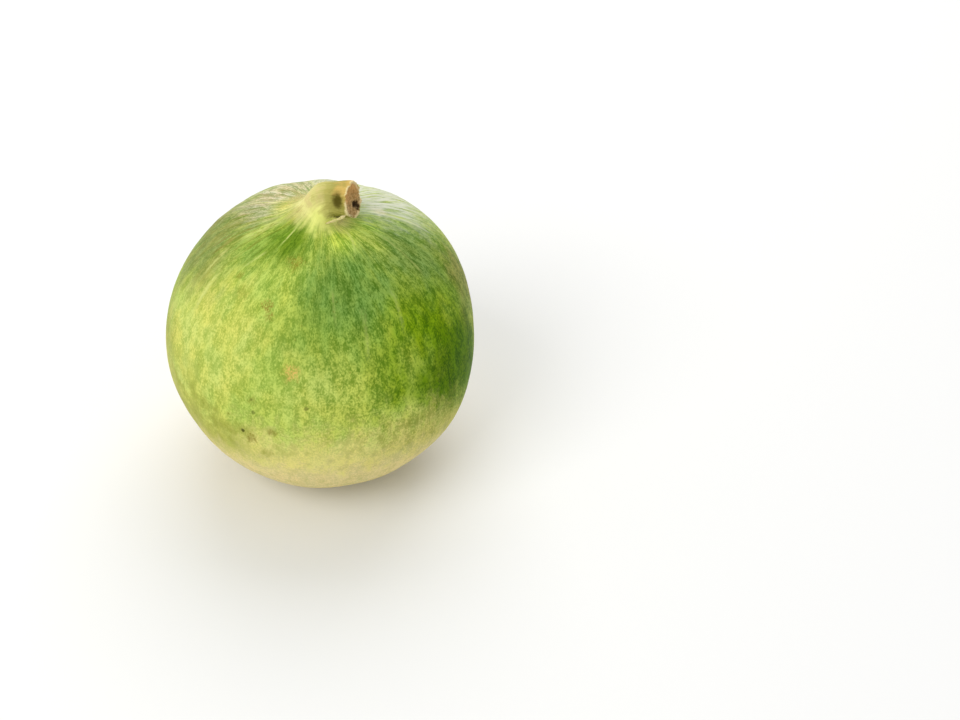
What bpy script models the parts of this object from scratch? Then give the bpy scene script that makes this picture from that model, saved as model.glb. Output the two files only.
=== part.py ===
"""A round cucumber with the cut stub of its stem, standing on its blossom end.

Metres, +Z up. The origin is on the surface that it stands on, under the middle of the fruit.
The camera side is -Y, and the stem leans towards +X. Azimuths are counter-clockwise from +X.
A polar angle is measured at the fruit's centre, 0 at the stem and 180 degrees at the foot.
"""

import math

import bmesh
import bpy
from mathutils import Vector, noise

MM = 0.001

# The fruit's body
FRUIT_WIDTH = 99.6 * MM
FRUIT_SEMI_HEIGHT = 48.6 * MM
ROUNDNESS = 2.04  # exponent of the meridian's superellipse, 2 is an ellipse
FOOT_RADIUS = 15 * MM
FOOT_FADE = math.radians(22)  # band above the foot in which ribs and swellings die away
FRUIT_SEGMENTS = 80
BODY_RINGS = 25

# Ten low ribs: strongest round the stem, faint at the waist, and a little stronger near the foot
RIBS = 10
RIB_HEIGHT = 0.3 * MM
RIB_TURN = math.radians(11)  # where the first rib stands
RIB_UNEVENNESS = 0.35  # how far, in radians of its wave, a rib wanders from its even place
RIB_WAIST_SHARE = 0.25
RIB_STEM_BAND = (math.radians(24), math.radians(26), 0.75)  # polar angle, spread, share
RIB_FOOT_BAND = (math.radians(150), math.radians(22), 0.35)

# Broad swellings and hollows: azimuth, polar angle and spread in degrees, then height
SWELLINGS = (
    (36, 56, 28, 2.5 * MM),
    (105, 40, 26, 0.9 * MM),
    (160, 64, 22, -0.4 * MM),
    (-24, 118, 26, 1.5 * MM),
    (-105, 85, 34, 0.7 * MM),
    (-164, 108, 26, -0.4 * MM),
    (-145, 126, 24, -0.6 * MM),
    (-60, 42, 16, -0.5 * MM),
    (-125, 40, 15, -0.4 * MM),
    (95, 112, 26, 0.8 * MM),
)
LUMP_HEIGHT = 0.3 * MM
LUMP_SIZE = 17 * MM
LUMP_SAMPLE = Vector((3.1, 0.7, 5.2))  # which part of the endless noise field is taken

# The neck that rises to the stem, and the flat seat on it that the stem grows from
NECK_ANGLE = math.radians(18)  # polar angle at which it leaves the body
NECK_RINGS = 8
NECK_RISE = 3.6 * MM
NECK_FOOT_PULL = 4.6 * MM  # how far the curve follows the body before it turns up
NECK_TOP_PULL = 3.2 * MM
SEAT_OFFSET = Vector((1.0, -0.6, 0)) * MM
SEAT_RINGS = 3

# The blossom scar, sunk in the middle of the foot
SCAR_DISH_RADIUS = 8 * MM
SCAR_DISH_DEPTH = 1.3 * MM
SCAR_BUTTON_RADIUS = 3.4 * MM
SCAR_BUTTON_HEIGHT = 0.9 * MM
SCAR_BUTTON_EDGE = 0.25  # half width of its sloping edge, a share of the button's radius
SCAR_LOBES = 5
SCAR_LOBE_DEPTH = 0.08
SCAR_RADII = (6.8, 5.6, 4.6, 4.0, 3.4, 2.8, 1.9, 1.0)  # millimetres, outermost first

# The stem: a bent stub with five ridges, swollen at its cut end
STEM_GAP = 0.3 * MM
STEM_SEGMENTS = 60
STEM_RINGS = 22
STEM_START = Vector((0.40, -0.10, 0.91)).normalized()
STEM_END = Vector((0.90, -0.36, 0.26)).normalized()
STEM_CUT = Vector((10.0, -3.6, 7.6)) * MM  # the cut's middle, from the top of the body
STEM_BEND = 4.2 * MM  # length of the curve's handles
STEM_FOOT_RADIUS = 6.2 * MM
STEM_WAIST_RADIUS = 5.1 * MM
STEM_END_RADIUS = 5.5 * MM
STEM_WAIST_FROM = 0.5  # share of the stem's length by which the foot's flare is gone
STEM_SWELLS = (0.45, 0.92)  # shares of its length between which the end swells
STEM_FOOT_SHARES = (0.7, 0.35)  # rings that close the stem's foot, shares of its radius
STEM_RIDGES = 5
STEM_RIDGE_DEPTH = 0.05  # share of the radius
STEM_DENT = (0.74, math.radians(-112), 0.14, 0.42, 1.0 * MM)  # along, around, their spreads, depth

# The cut face: a rounded rim, a dished middle and a ring of cut vessels
CUT_ROUNDING = 0.5 * MM
CUT_SHARES = (0.93, 0.84, 0.74, 0.62, 0.5, 0.36, 0.2)  # of the end's radius, outermost first
CUT_DISH_DEPTH = 1.5 * MM
VESSELS = 10
VESSEL_RING = 0.62
VESSEL_RING_WIDTH = 0.16
VESSEL_HEIGHT = 0.45 * MM

SHARP_ANGLE = math.radians(50)
SKIN = ("cucumber_skin", (0.36, 0.47, 0.11), 0.42)
STALK = ("dry_stalk", (0.45, 0.34, 0.15), 0.75)


def clear_scene():
    for obj in list(bpy.data.objects):
        bpy.data.objects.remove(obj)


def bell(distance, spread):
    """1 at no distance, falling smoothly to nothing past about twice the spread."""
    return math.exp(-((distance / spread) ** 2))


def smooth_step(low, high, value):
    share = min(1.0, max(0.0, (value - low) / (high - low)))
    return share * share * (3 - 2 * share)


def bezier(start, handle_a, handle_b, end, share):
    rest = 1 - share
    return (
        start * rest**3
        + handle_a * (3 * rest**2 * share)
        + handle_b * (3 * rest * share**2)
        + end * share**3
    )


def direction(azimuth, polar):
    return Vector(
        (
            math.sin(polar) * math.cos(azimuth),
            math.sin(polar) * math.sin(azimuth),
            math.cos(polar),
        )
    )


def meridian_radius(polar):
    """Distance from the centre to the plain body, before ribs and swellings."""
    sideways = abs(math.sin(polar)) / (FRUIT_WIDTH / 2)
    upward = abs(math.cos(polar)) / FRUIT_SEMI_HEIGHT
    return (sideways**ROUNDNESS + upward**ROUNDNESS) ** (-1 / ROUNDNESS)


def foot_angle():
    """Polar angle at which the plain body is as wide as the foot, found by halving."""
    low, high = math.pi / 2, math.pi
    for _ in range(40):
        middle = (low + high) / 2
        if meridian_radius(middle) * math.sin(middle) > FOOT_RADIUS:
            low = middle
        else:
            high = middle
    return low


FOOT_ANGLE = foot_angle()
CENTRE = Vector((0, 0, -meridian_radius(FOOT_ANGLE) * math.cos(FOOT_ANGLE)))
BODY_TOP = CENTRE + Vector((0, 0, FRUIT_SEMI_HEIGHT))


def swelling_at(outward):
    total = 0.0
    for azimuth, polar, spread, height in SWELLINGS:
        middle = direction(math.radians(azimuth), math.radians(polar))
        total += height * bell(outward.angle(middle), math.radians(spread))
    return total


def rib_at(azimuth, polar):
    wave = RIBS * (azimuth - RIB_TURN)
    wave += RIB_UNEVENNESS * (math.sin(2 * azimuth + 0.6) + math.sin(3 * azimuth + polar))
    strength = RIB_WAIST_SHARE
    for middle, spread, share in (RIB_STEM_BAND, RIB_FOOT_BAND):
        strength += share * bell(polar - middle, spread)
    return RIB_HEIGHT * strength * math.cos(wave)


def lump_at(outward, radius):
    return LUMP_HEIGHT * noise.noise(outward * (radius / LUMP_SIZE) + LUMP_SAMPLE)


def body_point(azimuth, polar):
    outward = direction(azimuth, polar)
    plain = meridian_radius(polar)
    uneven = swelling_at(outward) + rib_at(azimuth, polar) + lump_at(outward, plain)
    settle = smooth_step(FOOT_ANGLE, FOOT_ANGLE - FOOT_FADE, polar)
    return CENTRE + outward * (plain + uneven * settle)


def across(heading):
    """Two directions square to the stem's heading: the side that it leans to, and its bend's hinge."""
    hinge = STEM_START.cross(STEM_END).normalized()
    lean = hinge.cross(heading).normalized()
    return lean, heading.cross(lean)


def ridged(radius, around):
    """The stem's outline is a soft pentagon."""
    return radius * (1 + STEM_RIDGE_DEPTH * math.cos(STEM_RIDGES * around))


SEAT = BODY_TOP + SEAT_OFFSET + Vector((0, 0, NECK_RISE))
LEAN_AZIMUTH = math.atan2(across(STEM_START)[0].y, across(STEM_START)[0].x)


def seat_point(azimuth, share=1.0):
    around = azimuth - LEAN_AZIMUTH
    first, second = across(STEM_START)
    reach = share * ridged(STEM_FOOT_RADIUS, around)
    return SEAT + first * (reach * math.cos(around)) + second * (reach * math.sin(around))


def neck_point(azimuth, share):
    """A point on the curve that leaves the body at share 0 and meets the seat at share 1."""
    start = body_point(azimuth, NECK_ANGLE)
    onward = body_point(azimuth, NECK_ANGLE - math.radians(1)) - start
    end = seat_point(azimuth)
    handle_a = start + onward.normalized() * NECK_FOOT_PULL
    handle_b = end - STEM_START * NECK_TOP_PULL
    return bezier(start, handle_a, handle_b, end, share)


def scar_height(radius, azimuth):
    """The dish round the blossom scar, with the scar's low lobed button in it."""
    dish = SCAR_DISH_DEPTH * 0.5 * (1 + math.cos(math.pi * radius / SCAR_DISH_RADIUS))
    edge = SCAR_BUTTON_RADIUS * (1 + SCAR_LOBE_DEPTH * math.cos(SCAR_LOBES * azimuth))
    outer, inner = edge * (1 + SCAR_BUTTON_EDGE), edge * (1 - SCAR_BUTTON_EDGE)
    return dish - SCAR_BUTTON_HEIGHT * smooth_step(outer, inner, radius)


def scar_point(azimuth, radius):
    return Vector(
        (radius * math.cos(azimuth), radius * math.sin(azimuth), scar_height(radius, azimuth))
    )


def circle(count):
    return [2 * math.pi * k / count for k in range(count)]


def fruit_rings():
    """The fruit's surface as rings of points, from the middle of the seat down to the scar."""
    turns = circle(FRUIT_SEGMENTS)
    rings = []
    for k in range(SEAT_RINGS - 1, 0, -1):
        rings.append([seat_point(a, 1 - k / SEAT_RINGS) for a in turns])
    for k in range(NECK_RINGS, 0, -1):
        rings.append([neck_point(a, k / NECK_RINGS) for a in turns])
    for k in range(BODY_RINGS):
        polar = NECK_ANGLE + (FOOT_ANGLE - NECK_ANGLE) * k / (BODY_RINGS - 1)
        rings.append([body_point(a, polar) for a in turns])
    for radius in (SCAR_DISH_RADIUS, *(r * MM for r in SCAR_RADII)):
        rings.append([scar_point(a, radius) for a in turns])
    return rings


def stem_line(share):
    """A point of the stem's centreline and its direction there."""
    start = SEAT + STEM_START * STEM_GAP
    end = BODY_TOP + STEM_CUT
    handle_a, handle_b = start + STEM_START * STEM_BEND, end - STEM_END * STEM_BEND
    rest = 1 - share
    heading = (
        (handle_a - start) * rest**2
        + (handle_b - handle_a) * (2 * rest * share)
        + (end - handle_b) * share**2
    )
    return bezier(start, handle_a, handle_b, end, share), heading.normalized()


def stem_radius(share):
    """Wide where it grows from the fruit, a waist, then the swollen end."""
    flare = (STEM_FOOT_RADIUS - STEM_WAIST_RADIUS) * smooth_step(STEM_WAIST_FROM, 0, share)
    swell = (STEM_END_RADIUS - STEM_WAIST_RADIUS) * smooth_step(*STEM_SWELLS, share)
    return STEM_WAIST_RADIUS + flare + swell


def stem_ring(share, scale=1.0, sink=None):
    """One ring round the stem; sink gives how far each of its points lies back along the stem."""
    point, heading = stem_line(share)
    first, second = across(heading)
    dent_along, dent_around, spread_along, spread_around, dent_depth = STEM_DENT
    ring = []
    for around in circle(STEM_SEGMENTS):
        radius = ridged(stem_radius(share), around)
        turn = math.remainder(around - dent_around, 2 * math.pi)
        radius -= dent_depth * bell(share - dent_along, spread_along) * bell(turn, spread_around)
        reach = radius * scale
        depth = sink(around) if sink else 0
        ring.append(
            point
            + first * (reach * math.cos(around))
            + second * (reach * math.sin(around))
            - heading * depth
        )
    return ring


def cut_depth(share, around):
    """How far the cut face lies behind its rim, at a share of the radius."""
    dish = CUT_DISH_DEPTH * (1 - share**2)
    vessel = VESSEL_HEIGHT * bell(share - VESSEL_RING, VESSEL_RING_WIDTH)
    return dish - vessel * (0.5 + 0.5 * math.cos(VESSELS * around))


def stem_rings():
    """The stem's surface as rings of points, from the middle of the cut down to the foot."""
    rings = []
    for share in reversed(CUT_SHARES):
        rings.append(stem_ring(1, share, lambda around, s=share: cut_depth(s, around)))
    rings.append(stem_ring(1, 1, lambda around: CUT_ROUNDING))
    rings += [stem_ring(k / STEM_RINGS) for k in range(STEM_RINGS - 1, -1, -1)]
    rings += [stem_ring(0, share) for share in STEM_FOOT_SHARES]
    return rings


def close_end(mesh, loop):
    """A fan of triangles from the middle of a ring, facing the side that it runs round anticlockwise."""
    middle = mesh.verts.new(sum((v.co for v in loop), Vector()) / len(loop))
    for k in range(len(loop)):
        mesh.faces.new((middle, loop[k], loop[(k + 1) % len(loop)]))


def closed_body(name, rings, finish):
    """Joins rings of points, listed from the top down and each anticlockwise, into one closed body."""
    mesh = bmesh.new()
    loops = [[mesh.verts.new(point) for point in ring] for ring in rings]
    for upper, lower in zip(loops, loops[1:]):
        for k in range(len(upper)):
            after = (k + 1) % len(upper)
            mesh.faces.new((upper[k], lower[k], lower[after], upper[after]))
    close_end(mesh, loops[0])
    close_end(mesh, loops[-1][::-1])
    data = bpy.data.meshes.new(name)
    mesh.to_mesh(data)
    mesh.free()
    data.shade_smooth()
    data.set_sharp_from_angle(angle=SHARP_ANGLE)
    obj = bpy.data.objects.new(name, data)
    obj.data.materials.append(material(*finish))
    bpy.context.scene.collection.objects.link(obj)


def material(name, colour, roughness):
    made = bpy.data.materials.new(name)
    made.use_nodes = True
    shader = made.node_tree.nodes["Principled BSDF"]
    shader.inputs["Base Color"].default_value = (*colour, 1)
    shader.inputs["Roughness"].default_value = roughness
    shader.inputs["Metallic"].default_value = 0
    made.diffuse_color = (*colour, 1)
    return made


def main():
    clear_scene()
    closed_body("fruit", fruit_rings(), SKIN)
    closed_body("stem", stem_rings(), STALK)


main()
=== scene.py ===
"""Looks of a round cucumber with a cut stem stub: skin, stem, loose peel, studio and camera.

Metres, +Z up, in the frame's own place. Azimuths are counter-clockwise from +X, and a polar angle
is measured at the fruit's centre, 0 at the stem and 180 degrees at the foot.
"""

import math
from types import SimpleNamespace

import bpy
import numpy as np
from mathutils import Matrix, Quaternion, Vector, noise


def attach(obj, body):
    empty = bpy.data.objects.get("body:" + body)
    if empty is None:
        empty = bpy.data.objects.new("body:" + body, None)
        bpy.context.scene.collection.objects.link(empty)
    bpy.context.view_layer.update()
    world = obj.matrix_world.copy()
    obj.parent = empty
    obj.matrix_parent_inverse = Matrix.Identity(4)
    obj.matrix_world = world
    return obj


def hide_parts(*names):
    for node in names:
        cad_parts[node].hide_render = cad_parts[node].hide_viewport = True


MM = 0.001
PHOTO_WIDTH, PHOTO_HEIGHT = 960, 720

# Camera: where the fruit's centre stands in the photo, and how the photo looks at it
FRUIT_PIXEL = (320.7, 335)
FRUIT_PIXELS_WIDE = 305
CAMERA_ELEVATION = math.radians(40)
CAMERA_DISTANCE = 520 * MM
SENSOR_WIDTH = 36

# The fruit's solid, in the same values as its source
FRUIT_WIDTH = 99.6 * MM
FRUIT_SEMI_HEIGHT = 48.6 * MM
ROUNDNESS = 2.04
FOOT_RADIUS = 15 * MM
FOOT_FADE = math.radians(22)
RIBS = 10
RIB_HEIGHT = 0.3 * MM
RIB_TURN = math.radians(11)
RIB_UNEVENNESS = 0.35
RIB_WAIST_SHARE = 0.25

# Where the ribs are higher than at the waist: middle and spread of the polar angle, and by what share
RIB_STEM_BAND = (math.radians(24), math.radians(26), 0.75)
RIB_FOOT_BAND = (math.radians(150), math.radians(22), 0.35)

# Broad bulges and hollows: azimuth and polar angle of the middle and spread in degrees, and height
SWELLINGS = (
    (36, 56, 28, 2.5 * MM),
    (105, 40, 26, 0.9 * MM),
    (160, 64, 22, -0.4 * MM),
    (-24, 118, 26, 1.5 * MM),
    (-105, 85, 34, 0.7 * MM),
    (-164, 108, 26, -0.4 * MM),
    (-145, 126, 24, -0.6 * MM),
    (-60, 42, 16, -0.5 * MM),
    (-125, 40, 15, -0.4 * MM),
    (95, 112, 26, 0.8 * MM),
)
LUMP_HEIGHT = 0.3 * MM
LUMP_SIZE = 17 * MM
LUMP_SAMPLE = (3.1, 0.7, 5.2)
NECK_ANGLE = math.radians(18)
NECK_RISE = 3.6 * MM
NECK_FOOT_PULL = 4.6 * MM
NECK_TOP_PULL = 3.2 * MM
SEAT_OFFSET = np.array((1.0, -0.6, 0)) * MM
SCAR_DISH_RADIUS = 8 * MM
SCAR_DISH_DEPTH = 1.3 * MM
SCAR_BUTTON_RADIUS = 3.4 * MM
SCAR_BUTTON_HEIGHT = 0.9 * MM
SCAR_BUTTON_EDGE = 0.25
SCAR_LOBES = 5
SCAR_LOBE_DEPTH = 0.08

# The stem's solid
STEM_GAP = 0.3 * MM
STEM_CUT = np.array((10.0, -3.6, 7.6)) * MM
STEM_BEND = 4.2 * MM
STEM_FOOT_RADIUS = 6.2 * MM
STEM_WAIST_RADIUS = 5.1 * MM
STEM_END_RADIUS = 5.5 * MM
STEM_WAIST_FROM = 0.5
STEM_SWELLS = (0.45, 0.92)
STEM_RIDGES = 5
STEM_RIDGE_DEPTH = 0.05
STEM_DENT = (0.74, math.radians(-112), 0.14, 0.42, 1.0 * MM)  # share of length, around, spreads, depth
CUT_DISH_DEPTH = 1.5 * MM
VESSELS = 10
VESSEL_RING = 0.62
VESSEL_RING_WIDTH = 0.16
VESSEL_HEIGHT = 0.45 * MM

# How finely the skin and the stem are meshed
SKIN_SEGMENTS = 320
SKIN_NECK_ROWS = 30
SKIN_BODY_ROWS = 190
SKIN_SCAR_ROWS = 26
STEM_SEGMENTS = 160
STEM_ROWS = 70
CUT_ROWS = 36
HALVINGS = 40  # steps in which the foot's polar angle is found

# Growth coordinates: the length that counts as one, about half the fruit's width
GROWTH_UNIT = 50 * MM


def unit(vector):
    """The same direction with a length of 1, for one vector or an array of them."""
    vector = np.asarray(vector, float)
    return vector / np.linalg.norm(vector, axis=-1, keepdims=True)


STEM_START = unit((0.40, -0.10, 0.91))
STEM_END = unit((0.90, -0.36, 0.26))


def bell(distance, spread):
    """1 at no distance, falling smoothly to nothing past about twice the spread."""
    return np.exp(-((distance / spread) ** 2))


def smooth_step(low, high, value):
    """0 up to low and 1 from high on, smoothly; low may be the larger one."""
    share = np.clip((value - low) / (high - low), 0, 1)
    return share * share * (3 - 2 * share)


def bezier(start, handle_a, handle_b, end, share):
    rest = 1 - share
    return (
        start * rest**3
        + handle_a * (3 * rest**2 * share)
        + handle_b * (3 * rest * share**2)
        + end * share**3
    )


def direction(azimuth, polar):
    """The unit vector that points from the fruit's centre to a place on it."""
    azimuth, polar = np.broadcast_arrays(azimuth, polar)
    return np.stack(
        [np.sin(polar) * np.cos(azimuth), np.sin(polar) * np.sin(azimuth), np.cos(polar)], axis=-1
    )


def noise_at(points, sample=(0, 0, 0)):
    """Blender's own smooth noise, from -1 to 1, at each of an array of points."""
    shifted = np.asarray(points) + np.asarray(sample)
    values = [noise.noise(Vector(p)) for p in shifted.reshape(-1, 3)]
    return np.array(values).reshape(shifted.shape[:-1])


def meridian_radius(polar):
    """Distance from the centre to the plain body, which is nearly round in outline."""
    sideways = np.abs(np.sin(polar)) / (FRUIT_WIDTH / 2)
    upward = np.abs(np.cos(polar)) / FRUIT_SEMI_HEIGHT
    return (sideways**ROUNDNESS + upward**ROUNDNESS) ** (-1 / ROUNDNESS)


def foot_angle():
    """Polar angle at which the plain body is as wide as the foot, found by halving."""
    low, high = math.pi / 2, math.pi
    for _ in range(HALVINGS):
        middle = (low + high) / 2
        if meridian_radius(middle) * math.sin(middle) > FOOT_RADIUS:
            low = middle
        else:
            high = middle
    return low


FOOT_ANGLE = foot_angle()
CENTRE = np.array((0, 0, -meridian_radius(FOOT_ANGLE) * math.cos(FOOT_ANGLE)))
BODY_TOP = CENTRE + (0, 0, FRUIT_SEMI_HEIGHT)
SEAT = BODY_TOP + SEAT_OFFSET + (0, 0, NECK_RISE)


def body_points(azimuth, polar):
    """Places on the body: the plain shape with its swellings, ribs and lumps, which fade at the foot."""
    outward = direction(azimuth, polar)
    plain = meridian_radius(polar)
    uneven = 0.0
    for middle_azimuth, middle_polar, spread, height in SWELLINGS:
        middle = direction(math.radians(middle_azimuth), math.radians(middle_polar))
        away = np.arccos(np.clip(outward @ middle, -1, 1))
        uneven = uneven + height * bell(away, math.radians(spread))
    wave = RIBS * (azimuth - RIB_TURN)
    wave = wave + RIB_UNEVENNESS * (np.sin(2 * azimuth + 0.6) + np.sin(3 * azimuth + polar))
    strength = RIB_WAIST_SHARE
    for middle, spread, share in (RIB_STEM_BAND, RIB_FOOT_BAND):
        strength = strength + share * bell(polar - middle, spread)
    uneven = uneven + RIB_HEIGHT * strength * np.cos(wave)
    lumps = noise_at(outward * (plain / LUMP_SIZE)[..., None], LUMP_SAMPLE)
    uneven = uneven + LUMP_HEIGHT * lumps
    settle = smooth_step(FOOT_ANGLE, FOOT_ANGLE - FOOT_FADE, polar)
    return CENTRE + outward * (plain + uneven * settle)[..., None]


def across(heading):
    """Two directions square to the stem's heading: the side that it leans to, and its bend's hinge."""
    hinge = unit(np.cross(STEM_START, STEM_END))
    lean = unit(np.cross(hinge, heading))
    return lean, np.cross(heading, lean)


def ridged(radius, around):
    """A stem radius with its low ridges."""
    return radius * (1 + STEM_RIDGE_DEPTH * np.cos(STEM_RIDGES * around))


LEAN_AZIMUTH = math.atan2(across(STEM_START)[0][1], across(STEM_START)[0][0])


def around_point(middle, heading, around, reach):
    """Places round the stem's line, at given angles from its leaning side and given reaches."""
    first, second = across(heading)
    leaning = first * (reach * np.cos(around))[..., None]
    return middle + leaning + second * (reach * np.sin(around))[..., None]


def neck_points(azimuth, share):
    """A ring of the neck: share 0 is where it leaves the body, and 1 is the seat's edge."""
    polar = np.full_like(azimuth, NECK_ANGLE)
    start = body_points(azimuth, polar)
    onward = body_points(azimuth, polar - math.radians(1)) - start
    around = azimuth - LEAN_AZIMUTH
    end = around_point(SEAT, STEM_START, around, ridged(STEM_FOOT_RADIUS, around))
    handle_a = start + unit(onward) * NECK_FOOT_PULL
    handle_b = end - STEM_START * NECK_TOP_PULL
    return bezier(start, handle_a, handle_b, end, share)


def stem_line(share):
    """The stem's middle and its heading, at a share of its length from the fruit to the cut."""
    start = SEAT + STEM_START * STEM_GAP
    end = BODY_TOP + STEM_CUT
    handle_a, handle_b = start + STEM_START * STEM_BEND, end - STEM_END * STEM_BEND
    rest = 1 - share
    heading = (
        (handle_a - start) * rest**2
        + (handle_b - handle_a) * (2 * rest * share)
        + (end - handle_b) * share**2
    )
    return bezier(start, handle_a, handle_b, end, share), unit(heading)


def wrapped(angle):
    """The same angle, between half a turn back and half a turn on."""
    return (angle + math.pi) % (2 * math.pi) - math.pi


def stem_radii(share, around):
    """The stem's radius, wider at both ends, ridged, and dented at one place."""
    flare = (STEM_FOOT_RADIUS - STEM_WAIST_RADIUS) * smooth_step(STEM_WAIST_FROM, 0, share)
    swell = (STEM_END_RADIUS - STEM_WAIST_RADIUS) * smooth_step(*STEM_SWELLS, share)
    radius = ridged(STEM_WAIST_RADIUS + flare + swell, around)
    dent_along, dent_around, spread_along, spread_around, dent_depth = STEM_DENT
    turn = wrapped(around - dent_around)
    return radius - dent_depth * bell(share - dent_along, spread_along) * bell(turn, spread_around)


def turns(count):
    """Evenly spaced angles, once round."""
    return np.arange(count) * (2 * math.pi / count)


def grid_normals(grid):
    """Outward normals of a grid of points whose rows run down and whose columns run anticlockwise."""
    down = np.gradient(grid, axis=0)
    onward = np.roll(grid, -1, axis=1) - np.roll(grid, 1, axis=1)
    normals = np.cross(down, onward)
    return normals / np.maximum(np.linalg.norm(normals, axis=-1, keepdims=True), 1e-12)


def arc_lengths(grid):
    """Mean length along the columns from the first row to each row."""
    steps = np.linalg.norm(np.diff(grid, axis=0), axis=-1).mean(axis=1)
    return np.concatenate([[0], np.cumsum(steps)])


def grid_mesh(name, grid, growth):
    """A closed mesh from a grid of points, with its growth coordinates and its layout for baking."""
    rows, columns = grid.shape[:2]
    points = np.concatenate([grid.reshape(-1, 3), [grid[0].mean(0)], [grid[-1].mean(0)]])
    top, bottom = rows * columns, rows * columns + 1
    row, column = np.mgrid[0 : rows - 1, 0:columns]
    after = (column + 1) % columns
    quads = np.stack(
        [
            row * columns + column,
            (row + 1) * columns + column,
            (row + 1) * columns + after,
            row * columns + after,
        ],
        axis=-1,
    ).reshape(-1, 4)
    heights = 1 - arc_lengths(grid) / arc_lengths(grid)[-1]
    share = column / columns
    beyond = (column + 1) / columns
    layout = np.stack(
        [
            np.stack([share, heights[row]], -1),
            np.stack([share, heights[row + 1]], -1),
            np.stack([beyond, heights[row + 1]], -1),
            np.stack([beyond, heights[row]], -1),
        ],
        axis=-2,
    ).reshape(-1, 2)
    faces = quads.tolist()
    corners = [layout]
    last = (rows - 1) * columns
    for k in range(columns):
        following = (k + 1) % columns
        faces.append([top, k, following])
        faces.append([bottom, last + following, last + k])
        left, right, middle = k / columns, (k + 1) / columns, (k + 0.5) / columns
        corners.append([[middle, 1], [left, heights[0]], [right, heights[0]]])
        corners.append([[middle, 0], [right, heights[-1]], [left, heights[-1]]])
    mesh = bpy.data.meshes.new(name)
    mesh.from_pydata(points.tolist(), [], faces)
    mesh.uv_layers.new(name="OFBake").uv.foreach_set("vector", np.concatenate(corners).ravel())
    ends = [growth[0].mean(0), growth[-1].mean(0)]
    store_vectors(mesh, "growth", np.concatenate([growth.reshape(-1, 3), ends]))
    mesh.shade_smooth()
    return mesh


def store_vectors(mesh, name, values):
    attribute = mesh.attributes.new(name, "FLOAT_VECTOR", "POINT")
    attribute.data.foreach_set("vector", np.asarray(values, np.float32).ravel())


def store_values(mesh, name, values):
    """A number for each grid point; the two end points take their rows' means."""
    attribute = mesh.attributes.new(name, "FLOAT", "POINT")
    ends = [values[0].mean(), values[-1].mean()]
    attribute.data.foreach_set("value", np.concatenate([values.ravel(), ends]).astype(np.float32))


def add_piece(name, mesh, materials, node):
    piece = bpy.data.objects.new(name, mesh)
    for material in materials:
        mesh.materials.append(material)
    bpy.context.scene.collection.objects.link(piece)
    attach(piece, "root")
    if node:
        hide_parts(node)
    return piece


# Skin: the collar that it carries up the stem, how far it stands proud there, and its fine relief
COLLAR_SHARES = (0.30, 0.26, 0.22, 0.18, 0.14, 0.10, 0.05, 0.0)
COLLAR_DIVE = (0.12, 0.30)  # shares of the stem's length over which its edge dives into the stem
COLLAR_SINK = 0.35 * MM
COLLAR_PROUD = 0.04 * MM
SCAR_MIDDLE = 0.3 * MM  # radius of the last ring, inside which the skin is closed
STREAK_RIDGE_HEIGHT = 0.10 * MM
PIT_DEPTH = 0.05 * MM
FLAT_FOOT = (0.4 * MM, 5 * MM)  # heights over the floor over which the relief sets in
SMOOTH_NECK = (0, 8 * MM)  # ways down from the seat over which the relief sets in
RIDGES_END = (70 * MM, 12 * MM)  # ways down from the seat over which the ridges weaken
RIDGES_SHARE = 0.3  # of their height that the ridges keep far from the stem


def scar_points(azimuth, radius):
    """The hollow under the foot with the blossom scar's lobed button in its middle."""
    dish = SCAR_DISH_DEPTH * 0.5 * (1 + np.cos(math.pi * radius / SCAR_DISH_RADIUS))
    edge = SCAR_BUTTON_RADIUS * (1 + SCAR_LOBE_DEPTH * np.cos(SCAR_LOBES * azimuth))
    button = smooth_step(edge * (1 + SCAR_BUTTON_EDGE), edge * (1 - SCAR_BUTTON_EDGE), radius)
    height = dish - SCAR_BUTTON_HEIGHT * button
    return np.stack([radius * np.cos(azimuth), radius * np.sin(azimuth), height], axis=-1)


def skin_grid():
    """Rows of the skin from its edge on the stem, down the neck and body, to the scar under the foot."""
    azimuth = turns(SKIN_SEGMENTS)
    around = azimuth - LEAN_AZIMUTH
    rows = []
    for share in COLLAR_SHARES:
        middle, heading = stem_line(share)
        sink = COLLAR_SINK * smooth_step(*COLLAR_DIVE, share)
        reach = stem_radii(share, around) + COLLAR_PROUD - sink
        rows.append(around_point(middle, heading, around, reach))
    for k in range(SKIN_NECK_ROWS, 0, -1):
        rows.append(neck_points(azimuth, k / SKIN_NECK_ROWS))
    polars = np.linspace(NECK_ANGLE, FOOT_ANGLE, SKIN_BODY_ROWS)
    body = body_points(azimuth[None, :], np.broadcast_to(polars[:, None], (SKIN_BODY_ROWS, SKIN_SEGMENTS)))
    radii = np.linspace(SCAR_DISH_RADIUS, SCAR_MIDDLE, SKIN_SCAR_ROWS)
    scar = [scar_points(azimuth, radius) for radius in radii]
    return np.concatenate([np.array(rows), body, np.array(scar)])


def growth_coordinates(azimuth, lengths):
    """Where a point lies in the pattern: cosine and sine of its azimuth, and its way down from the seat."""
    down = np.broadcast_to(np.asarray(lengths)[:, None] / GROWTH_UNIT, (len(lengths), len(azimuth)))
    cosine, sine = (np.broadcast_to(f(azimuth), down.shape) for f in (np.cos, np.sin))
    return np.stack([cosine, sine, down], axis=-1)


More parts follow.
